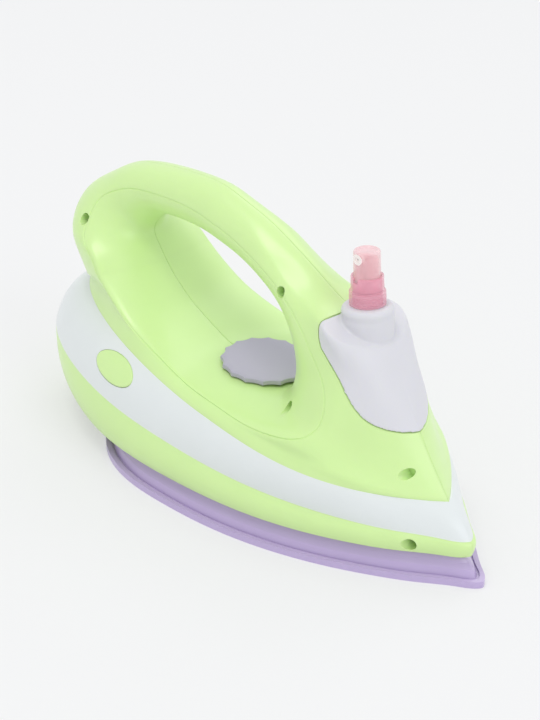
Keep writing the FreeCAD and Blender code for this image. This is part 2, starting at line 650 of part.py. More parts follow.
head = turned([(1.96, 12.4), (3.0, 12.4), (3.0, 20.0), (4.7, 20.0), (5.0, 11.4), (5.75, 11.4),
               (5.65, 22.9), (5.3, 23.5), (4.7, HEAD_TOP), (4.2, HEAD_TOP), (3.4, 23.2),
               (0, 22.9), (0, 17.6), (1.96, 17.6)])
nozzle_seat = along_pump(0, NOZZLE_Z)
head = head.cut(rod(NOZZLE_R, nozzle_seat + V(0, -3.6, 0), nozzle_seat + V(0, -9, 0)))
head = head.cut(rod(0.8, nozzle_seat, nozzle_seat + V(0, -5, 0)))
head = head.cut(rod(0.8, along_pump(0, 17.0), along_pump(0, NOZZLE_Z + 0.5)))
save("actuator", head)
insert = rod(NOZZLE_R, nozzle_seat + V(0, -3.6, 0), nozzle_seat + V(0, -5.55, 0))
insert = insert.cut(rod(1.2, nozzle_seat + V(0, -5.2, 0), nozzle_seat + V(0, -9, 0)))
insert = insert.cut(rod(0.35, nozzle_seat, nozzle_seat + V(0, -9, 0)))
save("nozzle_insert", insert)
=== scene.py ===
import bmesh
import bpy
import math
import numpy as np
from mathutils import Matrix, Vector


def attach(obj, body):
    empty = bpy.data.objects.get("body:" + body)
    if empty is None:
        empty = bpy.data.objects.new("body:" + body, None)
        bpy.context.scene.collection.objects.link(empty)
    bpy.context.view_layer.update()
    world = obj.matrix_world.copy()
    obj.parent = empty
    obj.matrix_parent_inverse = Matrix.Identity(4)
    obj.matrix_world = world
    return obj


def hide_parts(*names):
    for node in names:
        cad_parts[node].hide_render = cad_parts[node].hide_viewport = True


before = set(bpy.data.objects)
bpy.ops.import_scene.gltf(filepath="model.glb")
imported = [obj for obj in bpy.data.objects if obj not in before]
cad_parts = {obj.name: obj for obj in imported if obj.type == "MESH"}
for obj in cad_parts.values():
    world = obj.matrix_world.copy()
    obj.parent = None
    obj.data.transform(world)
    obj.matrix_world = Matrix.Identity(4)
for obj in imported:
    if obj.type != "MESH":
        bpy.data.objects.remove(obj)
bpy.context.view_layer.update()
scene = bpy.context.scene
scene.view_settings.view_transform = "Standard"
MM = 0.001


# ------------------------------------------------------------------ camera
LENS_MM = 100.0
SENSOR_MM = 36.0
CAMERA_TARGET = (-7.0, 9.25, 46.88)    # mm, the point in the middle of the picture
CAMERA_DISTANCE = 900.0                # mm
CAMERA_AZIMUTH = math.radians(-41.945)
CAMERA_HEIGHT = math.radians(26.676)   # angle above the floor
CAMERA_ROLL = math.radians(0.762)


def photo_camera():
    data = bpy.data.cameras.new("camera")
    data.lens = LENS_MM
    data.sensor_width = SENSOR_MM
    data.clip_end = 50.0
    camera = bpy.data.objects.new("camera", data)
    back = Vector((math.cos(CAMERA_HEIGHT) * math.cos(CAMERA_AZIMUTH),
                   math.cos(CAMERA_HEIGHT) * math.sin(CAMERA_AZIMUTH), math.sin(CAMERA_HEIGHT)))
    level = Vector((-math.sin(CAMERA_AZIMUTH), math.cos(CAMERA_AZIMUTH), 0.0))
    upright = back.cross(level)
    right = level * math.cos(CAMERA_ROLL) + upright * math.sin(CAMERA_ROLL)
    up = upright * math.cos(CAMERA_ROLL) - level * math.sin(CAMERA_ROLL)
    place = (Vector(CAMERA_TARGET) + back * CAMERA_DISTANCE) * MM
    turn = Matrix((right, up, back)).transposed().to_4x4()
    camera.matrix_world = Matrix.Translation(place) @ turn
    scene.collection.objects.link(camera)
    scene.camera = camera


# ------------------------------------------------------------------ materials
IOR = 1.46
COAT_ROUGHNESS = 0.12
SCATTER_M = (0.004, 0.005, 0.002)      # how far red, green and blue light spread under the skin
NOISE_SCALE = 60.0
NOISE_DETAIL = 3.0
POLISH_SPREAD = 0.03                   # share by which the roughness varies over a surface


def srgb(r, g, b):
    """Linear colour from a picture's 0 to 255 values."""
    out = []
    for value in (r, g, b):
        value /= 255.0
        out.append(value / 12.92 if value <= 0.04045 else ((value + 0.055) / 1.055) ** 2.4)
    return (*out, 1.0)


def plastic(name, colour, roughness=0.3, coat=0.0, subsurface=0.0, transmission=0.0,
            metallic=0.0, alpha=1.0, mottle=0.04):
    """Moulded surface whose polish varies a little, and its tone by the share mottle."""
    material = bpy.data.materials.new(name)
    material.use_nodes = True
    nodes = material.node_tree.nodes
    links = material.node_tree.links
    shader = nodes["Principled BSDF"]
    base = srgb(*colour)
    for socket, value in (
            ("IOR", IOR), ("Metallic", metallic), ("Alpha", alpha), ("Coat Weight", coat),
            ("Coat Roughness", COAT_ROUGHNESS), ("Subsurface Weight", subsurface),
            ("Subsurface Radius", SCATTER_M), ("Subsurface Scale", 1.0),
            ("Transmission Weight", transmission)):
        shader.inputs[socket].default_value = value
    place = nodes.new("ShaderNodeTexCoord")
    noise = nodes.new("ShaderNodeTexNoise")
    noise.inputs["Scale"].default_value = NOISE_SCALE
    noise.inputs["Detail"].default_value = NOISE_DETAIL
    links.new(place.outputs["Object"], noise.inputs["Vector"])
    if mottle:
        tone = nodes.new("ShaderNodeMix")
        tone.data_type = "RGBA"
        tone.inputs["A"].default_value = base
        tone.inputs["B"].default_value = (*[c * (1.0 - mottle) for c in base[:3]], 1.0)
        links.new(noise.outputs["Fac"], tone.inputs["Factor"])
        links.new(tone.outputs["Result"], shader.inputs["Base Color"])
    else:
        shader.inputs["Base Color"].default_value = base
    polish = nodes.new("ShaderNodeMapRange")
    polish.inputs["To Min"].default_value = roughness * (1.0 - POLISH_SPREAD)
    polish.inputs["To Max"].default_value = roughness * (1.0 + POLISH_SPREAD)
    links.new(noise.outputs["Fac"], polish.inputs["Value"])
    links.new(polish.outputs["Result"], shader.inputs["Roughness"])
    return material


green = plastic("lime_plastic", (208, 238, 161), 0.32, coat=0.15, subsurface=0.12)
white = plastic("white_plastic", (223, 227, 226), 0.33, coat=0.1)
bottle_white = plastic("bottle_plastic", (215, 214, 218), 0.42, subsurface=0.1)
lilac = plastic("lilac_plastic", (192, 174, 213), 0.28, coat=0.2)
dial_lilac = plastic("dial_plastic", (182, 175, 196), 0.42)
pink_clear = plastic("pink_clear", (255, 208, 212), 0.14, alpha=0.45)
rose_clear = plastic("rose_clear", (248, 176, 194), 0.18, alpha=0.5)
milky = plastic("milky_plastic", (242, 238, 240), 0.3, transmission=0.2)
pale = plastic("pale_insert", (250, 240, 236), 0.35)
seal = plastic("seal_rubber", (225, 225, 222), 0.6)
steel = plastic("screw_steel", (170, 172, 176), 0.3, metallic=1.0)

FINISH = {
    "soleplate": lilac, "sole_screws": steel, "skirt_left": green, "skirt_right": green,
    "band_left": white, "band_right": white, "band_plug_left": green, "band_plug_right": green,
    "upper_shell_left": green, "upper_shell_right": green, "case_screws": steel,
    "water_bottle": bottle_white, "dial": dial_lilac, "dial_washer": milky, "dial_screw": steel,
    "pump_collar": rose_clear, "pump_gasket": seal, "pump_housing": milky, "stem_guide": milky,
    "pump_stem": milky, "pump_piston": milky, "dip_tube": milky, "pump_ball": steel,
    "pump_spring": steel, "actuator": pink_clear, "nozzle_insert": pale,
}
for name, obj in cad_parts.items():
    for slot in obj.material_slots:
        slot.material = FINISH[name]


# ------------------------------------------------------------------ form of the upper body, mm
# Each section is x, z of the loop's edge; x, half width, z of the crest that the groove follows;
# x, z of the ridge, or the place along the band's rim; fullness of the cheek or its shoulder point.
# A fullness of 0 is a flat cheek, more is rounder, and a rim section below 0 swells outwards.
WALL = 2.2
NOSE_X = 137.0
BAND_TOP = dict(nose=-22.5, length=232.0, half=44.1, widest=0.47, front=3.2, rear=1.66,
                z=31.4, rise=27.95, radius=2.5)
REAR_FOOT = ((-69.0, 78.0), (-79.5, 32.0, 76.0), None, 0.6)
OVER = [
    ((-74.0, 84.0), (-89.0, 30.0, 84.3), (-119.5, 75.0), 0.9),
    ((-77.0, 88.0), (-96.5, 26.5, 90.0), (-122.5, 90.0), 1.0),
    ((-77.0, 93.0), (-97.5, 17.5, 103.0), (-117.5, 103.5), 1.0),
    ((-71.0, 99.5), (-88.5, 14.0, 109.5), (-100.5, 114.2), 1.0),
    ((-60.0, 103.5), (-75.0, 12.3, 114.2), (-81.5, 122.8), 1.0),
    ((-40.0, 104.3), (-43.9, 11.5, 116.4), (-38.0, 128.0), 1.0),
    ((-24.0, 102.5), (-26.6, 11.7, 114.8), (-18.0, 125.5), 1.0),
    ((-8.0, 99.3), (-9.2, 12.2, 111.7), (0.0, 121.0), 1.0),
    ((6.0, 94.5), (8.6, 13.5, 106.4), (16.5, 114.6), (12.0, 10.5, 112.0)),
    ((19.0, 87.0), (26.0, 15.3, 99.4), (34.7, 106.1), (30.8, 10.2, 103.2)),
    ((26.0, 78.0), (43.6, 18.9, 89.4), (53.2, 97.9), (51.0, 15.2, 97.5)),
    ((28.5, 70.0), (51.9, 20.5, 81.2), (71.8, 94.0), (63.0, 21.0, 95.0)),
    ((28.0, 61.0), (59.3, 21.5, 73.4), (81.5, 81.0), 1.25),
    ((26.0, 53.5), (65.0, 25.0, 64.7), (90.0, 66.5), 0.85),
    ((20.5, 48.8), (65.7, 28.5, 56.3), (99.8, 51.0), 0.5),
]
NOSE_FOOT = ((11.0, 49.4), (62.7, 34.3, 51.6), None, 0.3)
ALONG = [
    ((6.5, 49.8), (58.7, 36.2, 50.1), 0.07, -0.5),
    ((2.0, 50.3), (52.6, 38.1, 48.8), 0.15, -0.45),
    ((-6.0, 51.0), (40.3, 39.6, 47.5), 0.25, -0.2),
    ((-13.0, 51.4), (27.6, 40.2, 47.6), 0.36, 0.0),
    ((-20.0, 51.9), (13.2, 39.6, 48.5), 0.45, 0.1),
    ((-27.0, 53.3), (-2.5, 38.8, 49.3), 0.53, 0.1),
    ((-35.0, 56.5), (-18.3, 37.5, 51.8), 0.60, 0.1),
    ((-44.0, 60.4), (-34.8, 36.0, 55.8), 0.68, 0.1),
    ((-53.0, 65.0), (-52.0, 34.8, 60.4), 0.76, 0.15),
    ((-62.0, 71.6), (-67.5, 33.4, 68.3), 0.87, 0.3),
]
LIP_ROUND = 0.35          # fullness that the lip outside the groove gains
LIP_ROWS = 3              # sections over which it comes in, from the nose
GROOVE_DEPTH = 0.34
GROOVE_HALF = 0.34
SEAM_DEPTH = 0.3
SEAM_SHARES = (1.0, 0.35, 0.05 / 0.3, 0.0)   # of that depth, on the rows next to the parting plane
STEPS = (5, 12)           # rows between two sections: plain, fine
POINTS = (17, 49)         # points across a row without a groove: plain, fine
EVENING = 0.14            # how far the waves between sections are taken out
NOSE_BLEND = 0.3
RIM_DRAW_FROM = 0.6       # share across the cheek where it starts to follow the band's rim

POCKET = [(54.2, 114.0), (54.2, 97.0), (54.5, 91.8), (56.4, 87.2), (61.2, 82.6),
          (68.2, 76.2), (74.2, 69.4), (81.0, 62.4), (87.2, 58.7), (92.8, 56.7),
          (97.0, 56.2), (118.0, 56.0), (118.0, 114.0)]
TOP_POINT = (71.0, 0.0, 91.0)
TOP_SLOPE = math.radians(21.8)
CASE_SCREWS = [(-100.0, 94.4), (26.2, 99.3), (40.7, 53.2), (99.5, 41.7)]
RECESS_RADII = (2.6, 2.5, 2.2, 2.2)      # near side's four screw recesses
RECESS_FLOORS = (7.5, 7.5, 14.0, 6.0)    # how far each one's floor is off the parting plane
BOSS_R = 4.2
FIT = 0.35                # gap between the bottle and its pocket


def half_width(level, s):
    """Half width of a tier's outline at s, from 0 at its nose to 1 at its rear."""
    if s < level["widest"]:
        return level["half"] * (1 - (1 - s / level["widest"]) ** level["front"])
    back = (s - level["widest"]) / (1 - level["widest"])
    return level["half"] * math.sqrt(max(0.0, 1 - back ** level["rear"]))


def level_point(level, s):
    x = NOSE_X + level["nose"] - level["length"] * s
    return np.array((x, -half_width(level, s), level["z"] + level["rise"] * s))


def inset(level, d, dz=0.0):
    """The same outline moved inwards by d and up by dz."""
    slope = level["half"] * level["front"] / (level["widest"] * level["length"])
    nose_step = d * math.sqrt(1 + slope * slope) / slope
    new = dict(level)
    new["nose"] = level["nose"] - nose_step
    new["length"] = level["length"] - nose_step - d
    new["half"] = level["half"] - d
    new["z"] = level["z"] + dz + level["rise"] * nose_step / level["length"]
    new["rise"] = level["rise"] * new["length"] / level["length"]
    return new


def section(loop_edge, crest, ridge, shape, along_rim):
    """Nine points across the near cheek: loop edge, crest, ridge or rim."""
    edge = np.array((loop_edge[0], 0.0, loop_edge[1]))
    top = np.array((crest[0], -crest[1], crest[2]))
    points = []
    for step in range(5):
        turn = math.pi / 2 * step / 4
        points.append((top[0] + (edge[0] - top[0]) * math.cos(turn), top[1] * math.sin(turn),
                       top[2] + (edge[2] - top[2]) * math.cos(turn)))
    if isinstance(shape, np.ndarray):
        corner = np.array((shape[0], top[1], shape[2]))
        crown = ridge + (shape - ridge) * 0.3
        crown[1] = shape[1] * 0.5
        return points + [(top + shape) * 0.375 + corner * 0.25, shape, crown, ridge]
    fullness = min(shape, 1.0)
    power = 1.0 / max(shape, 1.0)
    for step in range(1, 5):
        turn = math.pi / 2 * step / 4
        rise = math.sin(turn) ** power
        fall = max(math.cos(turn), 0.0) ** power
        if along_rim:
            bent = np.array((ridge[0] + (top[0] - ridge[0]) * fall,
                             top[1] + (ridge[1] - top[1]) * rise,
                             ridge[2] + (top[2] - ridge[2]) * fall))
        else:
            bent = np.array((top[0] + (ridge[0] - top[0]) * rise, top[1] * fall,
                             top[2] + (ridge[2] - top[2]) * rise))
        flat = top + (ridge - top) * (step / 4)
        points.append(bent * fullness + flat * (1 - fullness))
    return points


def shifted(line, closed, by):
    """Points of a line in the x-z plane moved to its left by a distance."""
    moved = []
    count = len(line)
    for i, (x, z) in enumerate(line):
        before = line[i - 1] if closed else line[max(i - 1, 0)]
        after = line[(i + 1) % count] if closed else line[min(i + 1, count - 1)]
        run = np.array((after[0] - before[0], after[1] - before[1]))
        run = run / np.linalg.norm(run)
        moved.append((x - run[1] * by, z + run[0] * by))
    return moved


def stations(wall, drop, lip):
    """Sections over the top and along the rim, moved inwards by wall; rim lowered by drop."""
    rim = inset(BAND_TOP, wall, -drop) if wall else BAND_TOP
    nose, rear = level_point(rim, 0.0), level_point(rim, 1.0)
    ring = [REAR_FOOT] + OVER + [NOSE_FOOT] + ALONG
    loop = shifted([s[0] for s in ring], True, wall)
    ridge_line = [(rear[0], rear[2])] + [s[2] for s in OVER] + [(nose[0], nose[2])]
    ridge_line = shifted(ridge_line, False, -wall)
    over, along = [], []
    for i, (_, crest, end, shape) in enumerate(ring):
        along_rim = i > len(OVER) + 1
        top = (crest[0], crest[1] - wall, crest[2] - (wall * 0.5 if along_rim else 0.0))
        if i == 0:
            ridge = rear
        elif i == len(OVER) + 1:
            ridge = nose
        elif along_rim:
            ridge = level_point(rim, end)
            shape += lip * min(1.0, (i - len(OVER) - 2) / LIP_ROWS)
        else:
            ridge = np.array((ridge_line[i][0], 0.0, ridge_line[i][1]))
        if isinstance(shape, tuple):
            shape = np.array((shape[0] + ridge[0] - end[0], wall - shape[1],
                              shape[2] + ridge[2] - end[1]))
        points = section(loop[i], top, ridge, shape, along_rim)
        if i <= len(OVER) + 1:
            over.append(points)
        if i > len(OVER):
            along.append(points)
    along.append(over[0])
    return np.array(over, dtype=float), np.array(along, dtype=float)


def drawn_to_rim(rows):
    """Rows along the rim with their outer ends drawn onto the band's true top outline."""
    places = np.array([0.0] + [s[2] for s in ALONG] + [1.0])
    back = (places - BAND_TOP["widest"]) / (1 - BAND_TOP["widest"])
    turn = np.where(back < 0, back, np.arcsin(np.maximum(back, 0.0)))
    turn = along_curve(turn, np.linspace(0, 1, len(rows)))
    back = np.where(turn < 0, turn, np.sin(np.maximum(turn, 0.0)))
    places = BAND_TOP["widest"] + back * (1 - BAND_TOP["widest"])
    true = np.array([level_point(BAND_TOP, min(max(s, 0.0), 1.0)) for s in places])
    across = np.linspace(0, 1, rows.shape[1])
    share = np.clip((across - RIM_DRAW_FROM) / (1 - RIM_DRAW_FROM), 0, 1) ** 2
    return rows + (true - rows[:, -1])[:, None] * share[None, :, None]


def slopes(p):
    """Slopes of the smooth curve through evenly spaced values along the first axis."""
    n = len(p)
    system = np.eye(n)
    right = np.empty_like(p)
    right[0] = (-11 * p[0] + 18 * p[1] - 9 * p[2] + 2 * p[3]) / 6
    right[-1] = (11 * p[-1] - 18 * p[-2] + 9 * p[-3] - 2 * p[-4]) / 6
    for i in range(1, n - 1):
        system[i, i - 1:i + 2] = (1, 4, 1)
        right[i] = 3 * (p[i + 1] - p[i - 1])
    return np.linalg.solve(system, right.reshape(n, -1)).reshape(p.shape)


def hermite(p0, p1, m0, m1, f):
    """Smooth value at the share f between p0 and p1 with the slopes m0 and m1."""
    return (p0 * (1 + 2 * f) * (1 - f) ** 2 + m0 * f * (1 - f) ** 2
            + p1 * f * f * (3 - 2 * f) + m1 * f * f * (f - 1))


def along_curve(p, places):
    """Values of the smooth curve through p at places from 0 to 1."""
    m = slopes(p)
    x = np.clip(places, 0, 1) * (len(p) - 1)
    i = np.clip(np.floor(x).astype(int), 0, len(p) - 2)
    f = (x - i).reshape((-1,) + (1,) * (p.ndim - 1))
    return hermite(p[i], p[i + 1], m[i], m[i + 1], f)


def across_rows(rows, places):
    """Each row's smooth curve at its own places."""
    p = np.moveaxis(rows, 1, 0)
    m = slopes(p)
    x = places * (len(p) - 1)
    i = np.clip(np.floor(x).astype(int), 0, len(p) - 2)
    f = (x - i)[..., None]
    r = np.arange(len(rows))[:, None]
    return hermite(p[i, r], p[i + 1, r], m[i, r], m[i + 1, r], f)


SEAM_AT = np.array((0.0, 0.15, 0.32, 0.7))          # mm off the parting plane, over the surface
GROOVE_AT = np.array((-1.6, -1.0, -0.7, -0.5, -0.34, -0.2, -0.08,
                      0.08, 0.2, 0.34, 0.5, 0.7, 1.0, 1.6))    # mm off the groove's middle
BELOW_GROOVE = np.linspace(0, 1, 22)[1:-1]          # shares of the way from the loop to the groove
ABOVE_GROOVE = np.linspace(0, 1, 30)[1:-1]          # and from the groove to the ridge or rim


def evened(rows, steps):
    """Rows with small waves between neighbouring sections taken out; both ends stay."""
    for _ in range(int(steps * steps * EVENING)):
        rows[1:-1] += 0.5 * (0.5 * (rows[:-2] + rows[2:]) - rows[1:-1])
    return rows


def blend_rows(ring, middle, steps):
    """Soften the join of the two surfaces at the nose; the outline there stays."""
    reach = np.arange(-steps, steps + 1)
    weight = 0.5 * (1 - (np.abs(reach) / (steps + 1)) ** 2)[:, None, None]
    stay = np.linspace(1, 0, ring.shape[1])[None, :, None] ** 0.5
    for _ in range(int(steps * steps * NOSE_BLEND)):
        near = ring[middle + reach]
        mean = 0.5 * (ring[middle + reach - 1] + ring[middle + reach + 1])
        ring[middle + reach] = near + weight * stay * (mean - near)


def groove_places(ring):
    """Places across each row, close together at the groove and the parting plane."""
    p = np.moveaxis(ring, 1, 0)
    speed = np.linalg.norm(slopes(p), axis=2) * (len(p) - 1)
    at_loop, at_crest, at_end = speed[0][:, None], speed[4][:, None], speed[-1][:, None]
    seam_loop = SEAM_AT[None] / at_loop
    seam_end = 1 - SEAM_AT[None, ::-1] / at_end
    middle = 0.5 + GROOVE_AT[None] / at_crest
    low = seam_loop[:, -1:] + (middle[:, :1] - seam_loop[:, -1:]) * BELOW_GROOVE[None]
    high = middle[:, -1:] + (seam_end[:, :1] - middle[:, -1:]) * ABOVE_GROOVE[None]
    return np.concatenate((seam_loop, low, middle, high, seam_end), axis=1)


def cut_lines(grid, count_over, steps):
    """Sink the fine groove and the parting line's edges into the surface."""
    around = np.roll(grid, -1, axis=0) - np.roll(grid, 1, axis=0)
    normal = np.cross(around, np.gradient(grid, axis=1))
    normal /= np.linalg.norm(normal, axis=2, keepdims=True) + 1e-12
    if normal[len(OVER) * steps // 2, 50][1] > 0:
        normal = -normal
    depth = np.zeros(grid.shape[1])
    first = len(SEAM_AT) + len(BELOW_GROOVE)
    depth[first:first + len(GROOVE_AT)] = GROOVE_DEPTH * np.exp(-(GROOVE_AT / GROOVE_HALF) ** 2)
    grid = grid - normal * depth[None, :, None]
    for k, share in enumerate(SEAM_SHARES):
        grid[:, k] -= normal[:, 4] * SEAM_DEPTH * share
        grid[:count_over, -1 - k] -= normal[:count_over, -5] * SEAM_DEPTH * share
    return grid


def cheek_grid(wall, drop, lip, fine, groove):
    """Ring of rows round the finger loop, and how many of them lead over the top."""
    over, along = stations(wall, drop, lip)
    steps = STEPS[fine]
    rows = [evened(along_curve(part, np.linspace(0, 1, (len(part) - 1) * steps + 1)), steps)
            for part in (over, along)]
    if not wall:
        rows[1] = drawn_to_rim(rows[1])
    count_over = len(rows[0])
    ring = np.concatenate((rows[0], rows[1][1:-1]))
    blend_rows(ring, count_over - 1, steps)
    if groove:
        return cut_lines(across_rows(ring, groove_places(ring)), count_over, steps), count_over
    places = np.tile(np.linspace(0, 1, POINTS[fine]), (len(ring), 1))
    return across_rows(ring, places), count_over


def cheek_mesh(name, wall=0.0, drop=0.0, lip=0.0, fine=True, groove=False):
    """Closed mesh between the near cheek's surface and the parting plane."""
    grid, count_over = cheek_grid(wall, drop, lip, fine, groove)
    grid[:, 0, 1] = 0.0
    grid[:count_over, -1, 1] = 0.0
    bm = bmesh.new()
    verts = [[bm.verts.new(p * MM) for p in row] for row in grid]
    n = len(verts)
    for i in range(n):
        a, b = verts[i], verts[(i + 1) % n]
        for j in range(len(a) - 1):
            bm.faces.new((a[j], a[j + 1], b[j + 1], b[j]))
    rear, nose = verts[0][-1], verts[count_over - 1][-1]
    base = bm.edges.new((rear, nose))

    def edge(a, b):
        return bm.edges.get((a, b))
    loop = [edge(verts[i][0], verts[(i + 1) % n][0]) for i in range(n)]
    ridge = [edge(verts[i][-1], verts[i + 1][-1]) for i in range(count_over - 1)]
    rim = [edge(verts[i][-1], verts[(i + 1) % n][-1]) for i in range(count_over - 1, n)]
    bmesh.ops.triangle_fill(bm, use_beauty=True, edges=loop + ridge + [base])
    bmesh.ops.triangle_fill(bm, use_beauty=True, edges=rim + [base])
    bmesh.ops.recalc_face_normals(bm, faces=bm.faces)
    return to_object(name, bm)


def to_object(name, bm):
    mesh = bpy.data.meshes.new(name)
    bm.to_mesh(mesh)
    bm.free()
    obj = bpy.data.objects.new(name, mesh)
    scene.collection.objects.link(obj)
    return obj


def prism(name, outline, low, high):
    """Solid between two y planes from an x-z outline, mm."""
    bm = bmesh.new()
    front = [bm.verts.new((x * MM, low * MM, z * MM)) for x, z in outline]
    back = [bm.verts.new((x * MM, high * MM, z * MM)) for x, z in outline]
    bm.faces.new(front)
    bm.faces.new(back[::-1])
    for i in range(len(outline)):
        k = (i + 1) % len(outline)
        bm.faces.new((front[i], back[i], back[k], front[k]))
    bmesh.ops.recalc_face_normals(bm, faces=bm.faces)
    return to_object(name, bm)


def pocket_outline(grow):
    """The bottle's tongue-shaped outline, grown outwards."""
    points = []
    line = POCKET[:-1]
    for i, (x, z) in enumerate(line):
        before, after = line[max(i - 1, 0)], line[min(i + 1, len(line) - 1)]
        run = np.array((after[0] - before[0], after[1] - before[1]))
        run /= np.linalg.norm(run)
        points.append((x + run[1] * grow, z - run[0] * grow))
    points = np.array(points)
    step = np.concatenate(((0,), np.cumsum(np.linalg.norm(np.diff(points, axis=0), axis=1))))
    fine = []
    for i in range(len(points) - 1):
        p0, p1 = points[i], points[i + 1]
        d = step[i + 1] - step[i]
        m0 = tangent(points, step, i) * d
        m1 = tangent(points, step, i + 1) * d
        for f in np.linspace(0, 1, 9)[:-1]:
            fine.append(hermite(p0, p1, m0, m1, f))
    fine.append(points[-1])
    return [tuple(p) for p in fine] + [(points[-1][0], 140.0), (points[0][0], 140.0)]


def tangent(points, step, i):
    a, b = max(i - 1, 0), min(i + 1, len(points) - 1)
    return (points[b] - points[a]) / (step[b] - step[a])


def lathe(name, profile, foot, lean, turns=96):
    """Closed solid turned from (radius, height) points about a leaning axis."""
    bm = bmesh.new()
    rings = []
    for r, z in profile:
        if r < 1e-6:
            rings.append([bm.verts.new((0, 0, z * MM))])
        else:
            rings.append([bm.verts.new((r * MM * math.cos(2 * math.pi * k / turns),
                                        r * MM * math.sin(2 * math.pi * k / turns), z * MM))
                          for k in range(turns)])
    pairs = list(zip(rings, rings[1:]))
    if len(rings[0]) > 1 and len(rings[-1]) > 1:
        pairs.append((rings[-1], rings[0]))
    for a, b in pairs:
        for k in range(turns):
            n = (k + 1) % turns
            if len(a) == 1 and len(b) == 1:
                continue
            if len(a) == 1:
                bm.faces.new((a[0], b[n], b[k]))
            elif len(b) == 1:
                bm.faces.new((a[k], a[n], b[0]))
            else:
                bm.faces.new((a[k], a[n], b[n], b[k]))
    bmesh.ops.recalc_face_normals(bm, faces=bm.faces)
    bmesh.ops.rotate(bm, verts=bm.verts, cent=(0, 0, 0), matrix=Matrix.Rotation(lean, 3, "Y"))
    bmesh.ops.translate(bm, verts=bm.verts, vec=Vector(foot) * MM)
    return to_object(name, bm)


def along_y(name, radius, places, low, high, turns=48):
    """Cylinders along Y at x, z places, as one mesh."""
    bm = bmesh.new()
    for x, z in places:
        rings = [[bm.verts.new(((x + radius * math.cos(2 * math.pi * k / turns)) * MM, y * MM,
                                (z + radius * math.sin(2 * math.pi * k / turns)) * MM))
                  for k in range(turns)] for y in (low, high)]
        for k in range(turns):
            n = (k + 1) % turns
            bm.faces.new((rings[0][k], rings[0][n], rings[1][n], rings[1][k]))
        bm.faces.new(rings[0])
        bm.faces.new(rings[1][::-1])
    bmesh.ops.recalc_face_normals(bm, faces=bm.faces)
    return to_object(name, bm)


def applied(obj, kind, name, **settings):
    """Apply one modifier to an object's mesh."""
    modifier = obj.modifiers.new(name, kind)
    for key, value in settings.items():
        setattr(modifier, key, value)
    graph = bpy.context.evaluated_depsgraph_get()
    mesh = bpy.data.meshes.new_from_object(obj.evaluated_get(graph))
    obj.modifiers.clear()
    obj.data = mesh
    return obj


def combine(obj, other, operation, keep=False):
    """Boolean of obj with other, which is removed unless it is kept."""
    applied(obj, "BOOLEAN", "combine", operation=operation, object=other, solver="EXACT")
    if not keep:
        bpy.data.objects.remove(other)
    return obj


def copy_of(obj, name):
    """A separate object with its own copy of the mesh."""
    new = bpy.data.objects.new(name, obj.data.copy())
    scene.collection.objects.link(new)
    return new


def mirrored(obj, name):
    """The same form on the other side of the parting plane."""
    bm = bmesh.new()
    bm.from_mesh(obj.data)
    for vert in bm.verts:
        vert.co.y = -vert.co.y
    bmesh.ops.reverse_faces(bm, faces=bm.faces)
    return to_object(name, bm)


def smooth(obj, angle=35.0):
    """Smooth shading, with edges sharper than angle kept crisp."""
    mesh = obj.data
    mesh.shade_smooth()
    bm = bmesh.new()
    bm.from_mesh(mesh)
    limit = math.radians(angle)
    for e in bm.edges:
        e.smooth = not (len(e.link_faces) == 2 and e.calc_face_angle(0.0) > limit)
    bm.to_mesh(mesh)
    bm.free()


def dress(obj, material, body, slot, *nodes):
    """Give a piece its material and body, and hide the solids it stands for. The slot is not used.
    """
    obj.data.materials.clear()
    obj.data.materials.append(material)
    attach(obj, body)
    if nodes:
        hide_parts(*nodes)


# ------------------------------------------------------------------ upper shells
CORE_DROP = 3.0           # how far the hollow reaches below the rim
CORE_OVERLAP = 1.0        # and past the parting plane
REACH = 60.0              # half width of a tool that cuts right through


def upper_shells():
    near = cheek_mesh("upper_near", lip=LIP_ROUND, groove=True)
    core = cheek_mesh("core", wall=WALL, drop=CORE_DROP, fine=False)
    for vert in core.data.vertices:
        vert.co.y += CORE_OVERLAP * MM
    far = mirrored(near, "upper_far")
    far_core = mirrored(core, "far_core")
    combine(core, along_y("bosses", BOSS_R, CASE_SCREWS, -REACH, 5.0), "DIFFERENCE")
    for piece, hollow in ((near, core), (far, far_core)):
        combine(piece, hollow, "DIFFERENCE")
        combine(piece, prism("pocket", pocket_outline(0.0), -REACH, REACH), "DIFFERENCE")
    for place, radius, floor in zip(CASE_SCREWS, RECESS_RADII, RECESS_FLOORS):
        combine(near, along_y("recess", radius, [place], -REACH, -floor), "DIFFERENCE")
    for piece, node in ((near, "upper_shell_left"), (far, "upper_shell_right")):
        smooth(piece)
        dress(piece, green, "casing", "green_plastic", node)


# ------------------------------------------------------------------ water bottle
PUMP_FOOT = (63.0, 0.0, 102.8)
PUMP_LEAN = math.radians(-4.0)
NECK_R = 11.2
NECK_FOOT = -16.0         # how deep the neck starts in the body
NECK = [(0, NECK_FOOT), (NECK_R, NECK_FOOT), (NECK_R, -6.5), (NECK_R - 0.3, -4.5), (NECK_R, -2.4),
        (NECK_R - 0.35, -1.2), (NECK_R - 1.2, -0.35), (NECK_R - 2.4, 0.0), (8.2, 0.0), (0, 0.0)]
NECK_ROOM = [(0, NECK_FOOT), (9.2, NECK_FOOT), (9.2, -3.6), (0, -3.6)]
SPOUT = [(0, -3), (6.3, -3), (6.3, 3.55), (0, 3.55)]
BORE = [(0, -14), (4.6, -14), (4.6, 5), (0, 5)]
KEEL = ((54.0, -13.0, 61.0), (84.0, 13.0, 90.0))
KEEL_CORNER = 5.0
KEEL_TOP = 2.5            # how far the keel stops under the sloping top
BOTTLE_WALL = 2.0
SKIN_VOXEL = 0.45
SKIN_PASSES = 4
ROOM_VOXEL = 1.0


